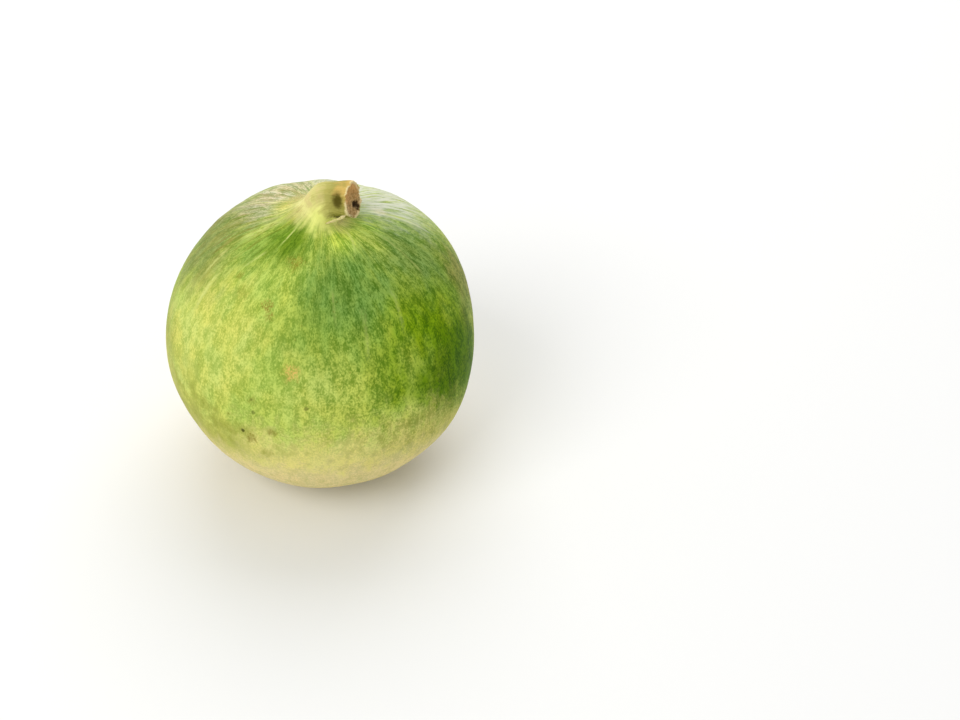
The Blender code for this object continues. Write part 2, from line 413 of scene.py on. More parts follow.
def build_skin(material):
    grid = skin_grid()
    lengths = arc_lengths(grid)
    lengths = lengths - lengths[len(COLLAR_SHARES)]
    growth = growth_coordinates(turns(SKIN_SEGMENTS), lengths)
    on_body = smooth_step(*FLAT_FOOT, grid[..., 2])
    below_neck = smooth_step(*SMOOTH_NECK, lengths)[:, None]
    near_stem = smooth_step(*RIDGES_END, lengths)[:, None]
    streaks = noise_at(growth * (14, 14, 3), (7, 1, 4)) + 0.5 * noise_at(growth * (34, 34, 7), (2, 9, 5))
    pits = noise_at(growth * (16, 16, 12), (4, 4, 8))
    strength = RIDGES_SHARE + (1 - RIDGES_SHARE) * near_stem
    relief = STREAK_RIDGE_HEIGHT * streaks * strength + PIT_DEPTH * pits
    grid = grid + grid_normals(grid) * (relief * on_body * below_neck)[..., None]
    mesh = grid_mesh("fruit_skin", grid, growth)
    add_piece("fruit_skin", mesh, [material], "fruit")


# Stem: fibres and shallow dents along it, and the torn dry face where it was cut
FIBRE_HEIGHT = 0.20 * MM
SHRINKAGE = 0.45 * MM
FIBRES_SET_IN = (1.5 * MM, 5 * MM)  # ways up from the seat
RIM_UNEVENNESS = 0.75 * MM
RIM_ROUNDING = 0.3 * MM
RIM_FROM = 0.72  # share of the stem's length from which its side follows the uneven rim
FACE_MIDDLE = 0.03  # share of the radius of the first ring, inside which the face is closed
FACE_ROUGHNESS = 0.20 * MM
FACE_TO_RIM = (0.80, 1.0)  # shares of the radius over which the face rises to the rim
FACE_COLOUR_END = (0.93, 1.0)  # shares of the radius over which its colour gives way to the side's
FACE_HOLLOW = (0.68, math.radians(38), 0.23, 1.4 * MM)  # share of radius, around, spread, depth
FOOT_SHARE = 0.6  # of the radius, to which the stem's hidden foot is drawn in
# Painted shade in the stem's dent: where dark olive is laid over its side
DENT_SHADE = (0.69, math.radians(-112), 0.18, 0.52)  # share of length, around, and how far it spreads each way


def face_depth(share, around):
    """How far the cut face lies behind its rim: a dish, a ring of vessels, a hollow and torn fibres."""
    dish = CUT_DISH_DEPTH * (1 - share**2)
    vessels = VESSEL_HEIGHT * bell(share - VESSEL_RING, VESSEL_RING_WIDTH)
    depth = dish - vessels * (0.5 + 0.5 * np.cos(VESSELS * around))
    hollow_share, hollow_around, spread, hollow_depth = FACE_HOLLOW
    x = share * np.cos(around) - hollow_share * math.cos(hollow_around)
    y = share * np.sin(around) - hollow_share * math.sin(hollow_around)
    depth = depth + hollow_depth * bell(np.hypot(x, y), spread)
    spot = np.stack([share * np.cos(around), share * np.sin(around), np.zeros_like(around)], -1)
    torn = noise_at(spot * 7, (1, 2, 3)) + 0.6 * noise_at(spot * 17, (5, 2, 3))
    return depth + FACE_ROUGHNESS * torn * (1 - smooth_step(*FACE_TO_RIM, share))


def rim_depth(around):
    """How far the torn rim lies back along the stem, all round it."""
    ring = np.stack([np.cos(around), np.sin(around), np.zeros_like(around)], -1)
    broad, middling = noise_at(ring * 1.8, (8, 8, 1)), noise_at(ring * 5, (8, 3, 1))
    torn = broad + 0.5 * middling + 0.35 * noise_at(ring * 13, (2, 8, 1))
    return RIM_ROUNDING + RIM_UNEVENNESS * torn


def stem_grid():
    """Rows of the stem from the middle of the cut to its rim and down the side to the foot.

    With each row comes how much of the face's colour it has, and its reach: from 0 to 1 out to the
    rim, and from there on to 2 at the foot.
    """
    around = turns(STEM_SEGMENTS)
    rows, face, radial = [], [], []
    end, heading = stem_line(1.0)
    rim = rim_depth(around)
    for share in np.linspace(FACE_MIDDLE, 1.0, CUT_ROWS):
        depth = face_depth(np.full_like(around, share), around)
        edge = smooth_step(*FACE_TO_RIM, share)
        depth = depth * (1 - edge) + rim * edge
        reach = stem_radii(1.0, around) * share
        rows.append(around_point(end - heading * depth[:, None], heading, around, reach))
        face.append(1 - smooth_step(*FACE_COLOUR_END, share))
        radial.append(share)
    for k in range(STEM_ROWS - 1, -1, -1):
        share = k / STEM_ROWS
        middle, heading = stem_line(share)
        back = rim * smooth_step(RIM_FROM, 1.0, share)
        reach = stem_radii(share, around)
        rows.append(around_point(middle - heading * back[:, None], heading, around, reach))
        face.append(0)
        radial.append(1 + (1 - share))
    foot, heading = stem_line(0.0)
    rows.append(around_point(foot, heading, around, stem_radii(0.0, around) * FOOT_SHARE))
    face.append(0)
    radial.append(2)
    return np.array(rows), np.array(face), np.array(radial)


def build_stem(material):
    grid, face, radial = stem_grid()
    lengths = arc_lengths(grid)
    lengths = lengths - lengths[-2] - STEM_GAP
    around = turns(STEM_SEGMENTS)
    growth = growth_coordinates(around + LEAN_AZIMUTH, lengths)
    side = (1 - face)[:, None] * smooth_step(*FIBRES_SET_IN, -lengths)[:, None]
    fibres = noise_at(growth * (7, 7, 6), (3, 3, 1)) + 0.7 * noise_at(growth * (17, 17, 12), (6, 3, 1))
    shrunk = noise_at(growth * (1.7, 1.7, 9), (1, 6, 2))
    grid = grid + grid_normals(grid) * ((FIBRE_HEIGHT * fibres + SHRINKAGE * shrunk) * side)[..., None]
    mesh = grid_mesh("stem_stub", grid, growth)
    shape = grid.shape[:2]
    radial = np.broadcast_to(radial[:, None], shape)
    reach = np.minimum(radial, 1)
    cut = np.stack([reach * np.cos(around), reach * np.sin(around), radial], axis=-1)
    # How much painted shade of the dent each point takes
    shade_along, shade_around, spread_along, spread_around = DENT_SHADE
    dent_shade = bell(2 - radial - shade_along, spread_along) * bell(wrapped(around - shade_around), spread_around)
    store_values(mesh, "face", np.broadcast_to(face[:, None], shape))
    store_values(mesh, "dent_shade", dent_shade * (radial > 1))
    store_vectors(mesh, "cut", np.concatenate([cut.reshape(-1, 3), [cut[0].mean(0)], [cut[-1].mean(0)]]))
    add_piece("stem_stub", mesh, [material], "stem")


# Peel: a strip of the stem's skin, torn loose under the cut and drying against the neck
PEEL_FROM = (0.90, math.radians(-64))  # share of the stem's length, around it
PEEL_TO = (math.radians(-79), 0.83)  # azimuth, share of the neck's height
PEEL_WIDTH = 1.2 * MM
PEEL_THICKNESS = 0.30 * MM
PEEL_BULGE = 1.1 * MM
PEEL_SINK = 0.15 * MM
PEEL_TIP = 0.25  # width at its end, a share of its full width
PEEL_ROWS = 48
PEEL_SEGMENTS = 20


def peel_grid():
    """Rings along the strip, from where it hangs on the stem to its tip on the neck."""
    along, around = PEEL_FROM
    middle, heading = stem_line(along)
    around = np.array([around])
    start = around_point(middle, heading, around, stem_radii(along, around) - PEEL_SINK)[0]
    azimuth, height = PEEL_TO
    end = neck_points(np.array([azimuth]), height)[0]
    off_stem, off_neck = unit(start - middle), unit(end - CENTRE) + direction(azimuth, math.pi / 2)
    end = end - unit(off_neck) * PEEL_SINK
    handles = start + off_stem * PEEL_BULGE, end + unit(off_neck) * PEEL_BULGE
    share = np.linspace(0, 1, PEEL_ROWS)
    line = bezier(start, *handles, end, share[:, None])
    tangent = unit(np.gradient(line, axis=0))
    outward = off_stem * (1 - share)[:, None] + off_neck * share[:, None]
    aside = unit(np.cross(tangent, outward))
    lifted = np.cross(aside, tangent)
    torn = noise_at(np.stack([share * 6, share * 0, share * 0], -1), (4, 1, 9))
    width = PEEL_WIDTH * (1 - (1 - PEEL_TIP) * share) * (1 + 0.5 * torn) / 2
    angle = turns(PEEL_SEGMENTS)
    across_strip = aside[:, None] * (width[:, None] * np.cos(angle))[..., None]
    return line[:, None] + across_strip + lifted[:, None] * (PEEL_THICKNESS / 2 * np.sin(angle))[:, None]


def build_peel(material):
    grid = peel_grid()
    growth = growth_coordinates(turns(PEEL_SEGMENTS), arc_lengths(grid))
    add_piece("peel_strip", grid_mesh("peel_strip", grid, growth), [material], None)


def srgb(red, green, blue):
    """A colour as screens give it, 0 to 255, in the linear values that shaders take."""
    shares = np.array((red, green, blue)) / 255
    linear = np.where(shares <= 0.04045, shares / 12.92, ((shares + 0.055) / 1.055) ** 2.4)
    return (*linear.tolist(), 1.0)


class Shader:
    """A material and short ways to add its nodes. An input may be a number, a vector or an output."""

    def __init__(self, name):
        self.material = bpy.data.materials.new(name)
        self.material.use_nodes = True
        self.nodes = self.material.node_tree.nodes
        self.links = self.material.node_tree.links
        self.surface = self.nodes["Principled BSDF"]

    def feed(self, socket, value):
        if isinstance(value, bpy.types.NodeSocket):
            self.links.new(value, socket)
        else:
            socket.default_value = value

    def maths(self, operation, *values, clamp=False):
        node = self.nodes.new("ShaderNodeMath")
        node.operation = operation
        node.use_clamp = clamp
        for socket, value in zip(node.inputs, values):
            self.feed(socket, value)
        return node.outputs[0]

    def vectors(self, operation, *values, output="Vector"):
        node = self.nodes.new("ShaderNodeVectorMath")
        node.operation = operation
        for socket, value in zip(node.inputs, values):
            self.feed(socket, value)
        return node.outputs[output]

    def attribute(self, name, output="Vector"):
        node = self.nodes.new("ShaderNodeAttribute")
        node.attribute_name = name
        return node.outputs[output]

    def position(self):
        return self.nodes.new("ShaderNodeTexCoord").outputs["Object"]

    def parts(self, vector):
        node = self.nodes.new("ShaderNodeSeparateXYZ")
        self.feed(node.inputs[0], vector)
        return tuple(node.outputs)

    def dots(self, vector, scale, share, size):
        """Small round dots, one in each chosen cell: how many cells have one, and their size in cells."""
        node = self.nodes.new("ShaderNodeTexVoronoi")
        node.inputs["Scale"].default_value = scale
        self.links.new(vector, node.inputs["Vector"])
        chosen = self.step(self.parts(node.outputs["Color"])[0], share + 0.01, share)
        return self.product(chosen, self.step(node.outputs["Distance"], size, size * 0.4))

    def step(self, value, low, high):
        """0 up to low and 1 from high on, smoothly; low may be the larger one."""
        node = self.nodes.new("ShaderNodeMapRange")
        node.interpolation_type = "SMOOTHSTEP"
        falling = low > high
        for name, given in (
            ("Value", value),
            ("From Min", min(low, high)),
            ("From Max", max(low, high)),
            ("To Min", 1.0 if falling else 0.0),
            ("To Max", 0.0 if falling else 1.0),
        ):
            self.feed(node.inputs[name], given)
        return node.outputs["Result"]

    def noise(self, vector, scale=(1, 1, 1), sample=(0, 0, 0), detail=2.0, roughness=0.5, distortion=0.0):
        """Noise from 0 to 1, at a vector that is stretched and moved first."""
        moved = self.nodes.new("ShaderNodeVectorMath")
        moved.operation = "MULTIPLY_ADD"
        for socket, value in zip(moved.inputs, (vector, scale, sample)):
            self.feed(socket, value)
        node = self.nodes.new("ShaderNodeTexNoise")
        self.links.new(moved.outputs[0], node.inputs["Vector"])
        node.inputs["Scale"].default_value = 1
        node.inputs["Detail"].default_value = detail
        node.inputs["Roughness"].default_value = roughness
        node.inputs["Distortion"].default_value = distortion
        return node.outputs["Fac"]

    def mix(self, factor, first, second, blend="MIX"):
        node = self.nodes.new("ShaderNodeMix")
        node.data_type = "RGBA"
        node.blend_type = blend
        node.clamp_factor = True
        self.feed(node.inputs["Factor"], factor)
        colours = [s for s in node.inputs if s.type == "RGBA"]
        self.feed(colours[0], first)
        self.feed(colours[1], second)
        return next(s for s in node.outputs if s.type == "RGBA")

    def total(self, first, *terms):
        """The first value plus each further value times its weight."""
        value = first
        for term, weight in terms:
            value = self.maths("MULTIPLY_ADD", term, weight, value)
        return value

    def product(self, first, *others):
        value = first
        for other in others:
            value = self.maths("MULTIPLY", value, other)
        return value

    def around_zero(self, noise_value):
        return self.maths("SUBTRACT", noise_value, 0.5)

    def angle_from(self, outward, azimuth, polar):
        """Degrees between a direction on the fruit and a place given by its azimuth and polar angle."""
        axis = tuple(direction(math.radians(azimuth), math.radians(polar)))
        near = self.vectors("DOT_PRODUCT", outward, axis, output="Value")
        return self.maths("DEGREES", self.maths("ARCCOSINE", near))

    def area(self, outward, azimuth, polar, outer, inner, *shifts):
        """0 beyond the outer and 1 within the inner angle round a place; shifts fray its edge."""
        away = self.total(self.angle_from(outward, azimuth, polar), *shifts)
        return self.step(away, outer, inner)

    def bump(self, height, distance):
        node = self.nodes.new("ShaderNodeBump")
        node.inputs["Strength"].default_value = 1
        node.inputs["Distance"].default_value = distance
        self.links.new(height, node.inputs["Height"])
        self.links.new(node.outputs["Normal"], self.surface.inputs["Normal"])


# Skin colours
MEADOW = srgb(162, 184, 78)
MID_GREEN = srgb(126, 158, 60)
DEEP = srgb(112, 146, 14)
DARKEST = srgb(76, 112, 0)
COOL = srgb(104, 140, 58)
WEDGE_GREEN = srgb(90, 126, 24)
FRESH_GREEN = srgb(140, 170, 58)
GREY_GREEN = srgb(111, 140, 66)
OLIVE_GREY = srgb(130, 144, 74)
OLIVE_BROWN = srgb(132, 138, 68)
PALE = srgb(198, 206, 106)
LIME = srgb(192, 218, 80)
# Pale beige of the painted sheen near the top at the back left
SHEEN_BEIGE = srgb(192, 188, 152)
CREAM = srgb(214, 209, 124)
OLIVE_CREAM = srgb(162, 166, 74)
FOOT_CREAM = srgb(222, 208, 146)
STREAK = srgb(218, 224, 134)
LIGHT_TINT = (1.66, 1.46, 1.80, 1)
SHADE_TINT = (0.40, 0.54, 0.24, 1)
WARM_TINT = (1.05, 1.00, 0.91, 1)
COOL_TINT = (0.95, 1.00, 1.04, 1)
NECK_PALE = srgb(236, 230, 150)
NECK_LIME = srgb(238, 240, 138)
NECK_TAN = srgb(214, 196, 132)
STALK_GREEN = srgb(178, 172, 90)
# Pale colour of the painted sheen, a reflection of the light near the fruit's top
PAINTED_SHEEN = srgb(220, 221, 202)
SCAB = srgb(228, 186, 104)
SCURF = srgb(176, 148, 92)
REDDISH = srgb(128, 96, 28)
ROSY = srgb(218, 200, 168)
BROWN = srgb(118, 100, 28)
DARK_OLIVE = srgb(128, 132, 40)
DARK_DOT = srgb(46, 50, 6)
FOOT_TAN = srgb(208, 186, 120)
SCAR_TAN = srgb(172, 144, 90)
SCAR_BROWN = srgb(112, 86, 44)

# Broad regions: azimuth and polar angle of the middle, degrees to where it starts to fade and to
# where it ends, colour and strength. A later one lies over an earlier one.
REGIONS = (
    (-36, 58, 6, 50, DEEP, 1.0),
    (-82, 46, 6, 26, MID_GREEN, 0.9),
    (-32, 77, 4, 26, DARKEST, 0.95),
    (-20, 71, 2, 16, DARKEST, 0.6),
    (-12, 32, 6, 32, GREY_GREEN, 0.9),
    (78, 84, 10, 50, DEEP, 0.8),
    (128, 92, 6, 38, PALE, 0.7),
    (6, 68, 4, 26, OLIVE_BROWN, 0.8),
    # Partly its own deep green, partly painted shade from a fruit that stood against its right side
    (-18, 90, 2, 26, DARKEST, 0.9),
    (-94, 72, 2, 20, PALE, 0.3),
    (-150, 68, 4, 42, PALE, 0.8),
    (166, 42, 8, 38, OLIVE_GREY, 0.95),
    (-152, 27, 2, 15, MID_GREEN, 0.7),
    # Painted sheen: a pale beige reflection of the light near the top, towards the back left
    (122, 27, 6, 30, SHEEN_BEIGE, 0.78),
    (-76, 34, 0, 24, COOL, 0.95),
    (-129, 17, 3, 15, WEDGE_GREEN, 0.95),
    (-110, 10, 0, 6, FRESH_GREEN, 0.8),
    (154, 13, 0, 8, PALE, 0.8),
    (-58, 14, 1, 10, LIME, 0.55),
    (-9, 18, 1, 9, FRESH_GREEN, 0.6),
    (-170, 84, 2, 24, OLIVE_CREAM, 0.7),
)

# Polar angles over which the pale base, its cream foot and the earthy underside set in
BASE = (78, 101)
FOOT = (98, 116)
UNDERSIDE = (118, 158)

# The two places where the pale base turns olive, the first, at the right side, partly as painted shade from a
# fruit that stood against it: azimuth and polar angle, and strength
OLIVE_AND_SHADED_SIDES = ((-42, 92, 0.6), (-140, 91, 1.0))
OLIVE_FADE = (38, 8)  # degrees to where they end and to where they are full

# Other areas: azimuth and polar angle, degrees to where it ends and to where it is full
# The green reaches further down the right side: partly its own green, partly painted shade from a fruit that
# stood against that side
GREEN_DIP_AND_PAINTED_SHADE = (-16, 92, 34, 6)
GREEN_DIP_AND_PAINTED_SHADE_DEPTH = 18  # degrees by which the green reaches further down there
PALE_SIDE = (-156, 66, 50, 15)
DEEP_SIDE = (-40, 62, 60, 25)
BURNT_SIDE = (158, 34, 38, 16)
# Where the painted sheen lies, near the top towards the back right
PAINTED_SHEEN_SIDE = (42, 32, 29, 6)

# Millimetres down from the seat: where the streaks end, and where they are full
STREAKED = (40, 8)

# The scar, in millimetres from the axis: where its tan ends and is full, and its dark ring's two edges
SCAR_REACH = (7.0, 3.8)
SCAR_RING_INSIDE = (2.4, 3.2)
SCAR_RING_OUTSIDE = (4.6, 3.6)

# The neck: sine of the azimuth over which its lime front gives way to the back, millimetres up from
# the seat over which its colour and the stem's green set in, and how far noise shifts their edges
NECK_BACK = (-0.98, -0.5)
NECK_SETS_IN = (-8, 1)
STALK_SETS_IN = (-1, 6)
STREAK_SHIFT = -7
BLOTCH_SHIFT = -10

# How the surfaces shine, and how deep their bumps are
SKIN_SPECULAR = 0.02
SKIN_BUMPS = 0.07 * MM
STEM_SPECULAR = 0.15
STEM_ROUGHNESS = 0.72
STEM_BUMPS = 0.12 * MM
PEEL_ROUGHNESS = 0.75
PEEL_BUMPS = 0.08 * MM
FLOOR_ROUGHNESS = 0.9

# Pale veins along the skin: azimuth and polar angle of both ends, width in degrees, strength
VEINS = (
    (-134, 12, -133, 22, 0.45, 0.7),
    (-166, 7, -166, 30, 2.6, 0.5),
    (-140, 26, -146, 36, 0.8, 0.4),
    (-156, 44, -154, 58, 1.3, 0.6),
    (-166, 36, -163, 48, 1.0, 0.5),
    (-40, 11, -56, 22, 1.0, 0.5),
    (-68, 43, -71, 60, 1.4, 0.2),
    (-83, 35, -83, 46, 0.8, 0.25),
    (-48, 40, -52, 54, 1.4, 0.2),
    (-20, 20, -24, 42, 0.8, 0.3),
    (14, 18, 10, 40, 0.8, 0.5),
    (96, 22, 100, 60, 0.9, 0.4),
    (150, 18, 146, 50, 0.8, 0.4),
)

# Marks: azimuth, polar angle and radius in degrees, colour, strength, and how far it breaks into flecks
MARKS = (
    (136, 11, 6.5, SCURF, 0.7, 1.0),
    (-160, 10, 4.0, SCURF, 0.5, 1.0),
    (-101, 64, 3.6, OLIVE_CREAM, 0.4, 0.2),
    (-101, 63.6, 3.2, SCAB, 0.75, 1.0),
    (-118, 43, 2.4, REDDISH, 0.8, 0.9),
    (-115, 46.5, 1.8, REDDISH, 0.75, 0.7),
    (-112, 25, 3.6, REDDISH, 0.55, 1.0),
    (-143, 38, 1.8, BROWN, 0.5, 0.6),
    (-134, 42, 2.6, DARK_OLIVE, 0.5, 0.5),
    (17, 22.5, 3.6, ROSY, 0.6, 0.3),
    (-117, 91, 4.2, DARK_OLIVE, 0.5, 0.4),
    (-118, 90.6, 1.0, DARK_DOT, 0.8, 0.0),
    (-114.5, 93.4, 2.2, BROWN, 0.6, 0.3),
    (-107, 87.7, 2.0, BROWN, 0.6, 0.4),
    (-115, 76.3, 2.4, DARK_OLIVE, 0.6, 0.4),
    (-115, 76.3, 0.7, DARK_DOT, 0.45, 0.0),
    (-114, 81.0, 0.9, DARK_DOT, 0.5, 0.0),
    (-124, 85.7, 0.9, DARK_OLIVE, 0.8, 0.0),
    (-95, 76, 0.9, DARK_DOT, 0.5, 0.0),
    (-135, 87.6, 3.2, DARK_OLIVE, 0.55, 0.3),
    (-126, 91.9, 3.4, DARK_OLIVE, 0.5, 0.4),
    (-109, 98.6, 2.8, DARK_OLIVE, 0.5, 0.4),
    (-120, 101, 7.0, OLIVE_CREAM, 0.4, 0.2),
    (-145, 80, 7.0, OLIVE_CREAM, 0.25, 0.2),
    (64, 58, 2.4, SCAB, 0.8, 1.0),
    (142, 74, 1.2, BROWN, 0.6, 0.3),
    (104, 96, 2.6, DARK_OLIVE, 0.5, 0.4),
)


def neck_colour(s, colour, up, streaks, growth):
    """Lays the neck's pale colour, and further up the stem's, over the given one. Up is in mm."""
    back = s.step(s.parts(growth)[1], *NECK_BACK)
    blotches = s.noise(s.position(), (300, 300, 300), (2, 6, 3), detail=4, roughness=0.6)
    frayed = s.total(up, (s.around_zero(streaks), STREAK_SHIFT), (s.around_zero(blotches), BLOTCH_SHIFT))
    pale = s.step(frayed, *NECK_SETS_IN)
    colour = s.mix(pale, colour, s.mix(back, NECK_LIME, NECK_PALE))
    colour = s.mix(s.product(s.step(blotches, 0.44, 0.62), pale, back, 0.8), colour, NECK_TAN)
    return s.mix(s.step(frayed, *STALK_SETS_IN), colour, STALK_GREEN)


def skin_patterns(s):
    """Where a point of the skin lies, and the patterns that the layers of its colour share."""
    growth = s.attribute("growth")
    outward = s.vectors("NORMALIZE", s.vectors("SUBTRACT", s.position(), tuple(CENTRE)))
    cosine, sine, down = s.parts(growth)
    p = SimpleNamespace(
        growth=growth,
        outward=outward,
        polar=s.maths("DEGREES", s.maths("ARCCOSINE", s.parts(outward)[2])),
        azimuth=s.maths("DEGREES", s.maths("ARCTAN2", sine, cosine)),
        down=s.maths("MULTIPLY", down, GROWTH_UNIT / MM),
        clouds=s.noise(outward, (3.2,) * 3, (3, 1, 2), detail=3),
        blotches=s.noise(growth, (9, 9, 6), (1, 5, 2), detail=3, roughness=0.6),
        mottle=s.noise(growth, (36, 36, 28), (4, 0, 7), detail=3, roughness=0.6),
        grain=s.noise(growth, (84, 84, 66), (0, 3, 1), detail=2, roughness=0.6),
        patches=s.noise(growth, (15, 15, 11), (8, 2, 0), detail=2, roughness=0.5),
        tinge=s.noise(growth, (7, 7, 5), (5, 5, 3), detail=2, roughness=0.5),
        brushed=s.noise(growth, (22, 22, 5), (1, 8, 4), detail=3, roughness=0.6),
        streaks=s.noise(growth, (7, 7, 1.6), (6, 2, 3), detail=4, roughness=0.6),
        dashes=s.noise(growth, (40, 40, 6), (2, 2, 6), detail=2, roughness=0.55),
    )
    p.wobble = s.total(0.0, (s.around_zero(p.clouds), 1.3), (s.around_zero(p.blotches), 0.9))
    p.near_stem = s.step(p.down, *STREAKED)
    p.underside = s.step(p.polar, *UNDERSIDE)
    p.edge = s.total(
        p.polar,
        (s.around_zero(p.blotches), 26),
        (s.around_zero(p.patches), 22),
        (s.around_zero(p.mottle), 20),
        # green drawn further down the right side, partly painted shade
        (s.area(p.outward, *GREEN_DIP_AND_PAINTED_SHADE), -GREEN_DIP_AND_PAINTED_SHADE_DEPTH),
    )
    p.base = s.step(p.edge, *BASE)
    return p


def lay_regions(s, p, colour):
    """The broad regions, each with a soft, wobbly edge."""
    for azimuth, polar, inner, outer, tint, strength in REGIONS:
        near = s.area(p.outward, azimuth, polar, outer, inner, (p.wobble, outer - inner))
        colour = s.mix(s.product(near, strength), colour, tint)
    return colour


def lay_base(s, p, colour):
    """The pale lower part, olive at two sides and in patches, and more cream towards the foot; the olive at
    the right side is partly painted shade.
    """
    first, second = (
        s.product(s.area(p.outward, azimuth, polar, *OLIVE_FADE, (p.wobble, 24)), strength)
        for azimuth, polar, strength in OLIVE_AND_SHADED_SIDES
    )
    sides = s.maths("MAXIMUM", first, second)
    olive_and_shade = s.total(s.product(sides, 0.85), (s.step(p.patches, 0.5, 0.7), 0.3))
    colour = s.mix(p.base, colour, s.mix(olive_and_shade, CREAM, OLIVE_CREAM))
    foot = s.product(s.step(p.edge, *FOOT), s.total(1.0, (olive_and_shade, -0.5)))
    return s.mix(foot, colour, FOOT_CREAM)


def lay_mottle(s, p, colour):
    """Lighter and darker mottle, streaked near the stem, and a warmer or cooler tinge."""
    pale_side = s.area(p.outward, *PALE_SIDE)
    deep_side = s.area(p.outward, *DEEP_SIDE)
    brushing = s.total(0.6, (p.near_stem, 0.6), (deep_side, 0.8))
    tone = s.total(
        0.5,
        (s.around_zero(p.mottle), 1.7),
        (s.around_zero(p.grain), 2.8),
        (s.around_zero(p.patches), 1.7),
        (s.around_zero(p.blotches), 1.0),
        (s.product(s.around_zero(p.brushed), brushing), 1.0),
        (s.product(s.around_zero(p.streaks), p.near_stem), 1.4),
        (s.product(s.around_zero(p.dashes), p.near_stem), 2.0),
    )
    contrast = s.total(
        0.62,
        (p.base, -0.40),
        (pale_side, -0.16),
        (deep_side, 0.26),
        (p.near_stem, 0.16),
        (p.underside, -0.14),
    )
    light = s.mix(contrast, colour, LIGHT_TINT, "MULTIPLY")
    dark = s.mix(contrast, colour, SHADE_TINT, "MULTIPLY")
    colour = s.mix(s.step(tone, -0.2, 1.2), light, dark)
    tint = s.mix(s.step(p.tinge, 0.32, 0.68), WARM_TINT, COOL_TINT)
    return s.mix(s.total(1.0, (p.base, -0.7)), colour, tint, "MULTIPLY")


def lay_dashes(s, p, colour):
    """Browned dashes behind the stem, and faint pale ones all over."""
    burnt = s.product(s.area(p.outward, *BURNT_SIDE), s.step(p.dashes, 0.50, 0.66))
    colour = s.mix(s.product(burnt, 0.5), colour, BROWN)
    broken = s.total(p.dashes, (s.around_zero(p.mottle), 0.8), (s.around_zero(p.grain), 0.6))
    strength = s.total(0.36, (p.near_stem, 0.40), (p.base, -0.30))
    faint = s.product(s.step(broken, 0.54, 0.80), strength)
    return s.mix(faint, colour, LIGHT_TINT, "MULTIPLY")


def lay_veins(s, p, colour):
    """The pale veins, broken up by the mottle."""
    sine = s.maths("SINE", s.maths("RADIANS", p.polar))
    broken = s.step(s.total(p.mottle, (s.around_zero(p.grain), 0.5)), 0.34, 0.56)
    for start, high, end, low, width, strength in VEINS:
        middle = s.total(start, (s.maths("SUBTRACT", p.polar, high), (end - start) / (low - high)))
        turn = s.maths("WRAP", s.maths("SUBTRACT", p.azimuth, middle), 180, -180)
        aside = s.product(s.maths("ABSOLUTE", turn), sine)
        aside = s.total(aside, (s.around_zero(p.mottle), width * 2), (s.around_zero(p.blotches), 1.2))
        along = s.product(s.step(p.polar, high - 1.5, high + 2), s.step(p.polar, low + 3, low - 4))
        vein = s.product(s.step(aside, width, width * 0.2), along, broken, strength)
        colour = s.mix(vein, colour, STREAK)
    return colour


def lay_neck(s, p, colour):
    return neck_colour(s, colour, s.maths("MULTIPLY", p.down, -1), p.streaks, p.growth)


def lay_marks(s, p, colour):
    """The single marks, and small brown dots all over."""
    flecks = s.step(s.noise(p.growth, (120, 120, 66), (3, 7, 2), detail=2, roughness=0.6), 0.42, 0.58)
    for azimuth, polar, radius, tint, strength, broken in MARKS:
        ragged = (s.around_zero(p.mottle), radius * 2.4)
        near = s.area(p.outward, azimuth, polar, radius * 1.2, radius * 0.3, ragged)
        cover = s.total(1 - broken, (flecks, broken))
        colour = s.mix(s.product(near, cover, strength), colour, tint)
    return s.mix(s.product(s.dots(p.growth, 26, 0.06, 0.16), 0.5), colour, BROWN)


def lay_painted_sheen(s, p, colour):
    """Painted sheen, a pale reflection of the light near the top towards the back right, combed into streaks.
    """
    near = s.area(p.outward, *PAINTED_SHEEN_SIDE, (p.wobble, 14), (s.around_zero(p.mottle), 10))
    painted_sheen = s.product(near, s.step(p.dashes, 0.26, 0.60), s.step(p.down, 0, 6))
    return s.mix(s.product(painted_sheen, 0.92), colour, PAINTED_SHEEN)


def lay_underside(s, p, colour):
    """Traces of earth, and the corky blossom scar with its dark ring."""
    earth = s.noise(s.position(), (260, 260, 260), (3, 6, 1), detail=4, roughness=0.6)
    colour = s.mix(s.product(s.step(earth, 0.44, 0.66), p.underside, 0.7), colour, FOOT_TAN)
    sideways = s.vectors("MULTIPLY", s.position(), (1 / MM, 1 / MM, 0))
    scar = s.total(s.vectors("LENGTH", sideways, output="Value"), (s.around_zero(earth), 4))
    colour = s.mix(s.product(s.step(scar, *SCAR_REACH), p.underside, 0.8), colour, SCAR_TAN)
    ring = s.product(s.step(scar, *SCAR_RING_INSIDE), s.step(scar, *SCAR_RING_OUTSIDE))
    return s.mix(s.product(ring, p.underside, 0.85), colour, SCAR_BROWN)


# The layers of the skin's colour, from the lowest to the topmost
SKIN_LAYERS = (
    lay_regions,
    lay_base,
    lay_mottle,
    lay_dashes,
    lay_veins,
    lay_neck,
    lay_marks,
    lay_painted_sheen,
    lay_underside,
)


def skin_material():
    s = Shader("mottled_skin")
    p = skin_patterns(s)
    colour = MEADOW
    for lay in SKIN_LAYERS:
        colour = lay(s, p, colour)
    s.feed(s.surface.inputs["Base Color"], colour)
    s.feed(s.surface.inputs["Roughness"], s.total(0.40, (p.mottle, 0.14), (p.base, 0.06)))
    s.surface.inputs["Specular IOR Level"].default_value = SKIN_SPECULAR
    s.bump(s.total(0.0, (p.grain, 0.5), (p.mottle, 0.9), (p.dashes, 0.5)), SKIN_BUMPS)
    return s.material


# Stem colours, on its side and on the cut
COLLAR_END = (3.2, 6.4)  # millimetres up the stem over which its own colours set in
STALK_OCHRE = srgb(208, 174, 92)
STALK_OLIVE = srgb(148, 142, 62)
STALK_PALE = srgb(190, 184, 102)
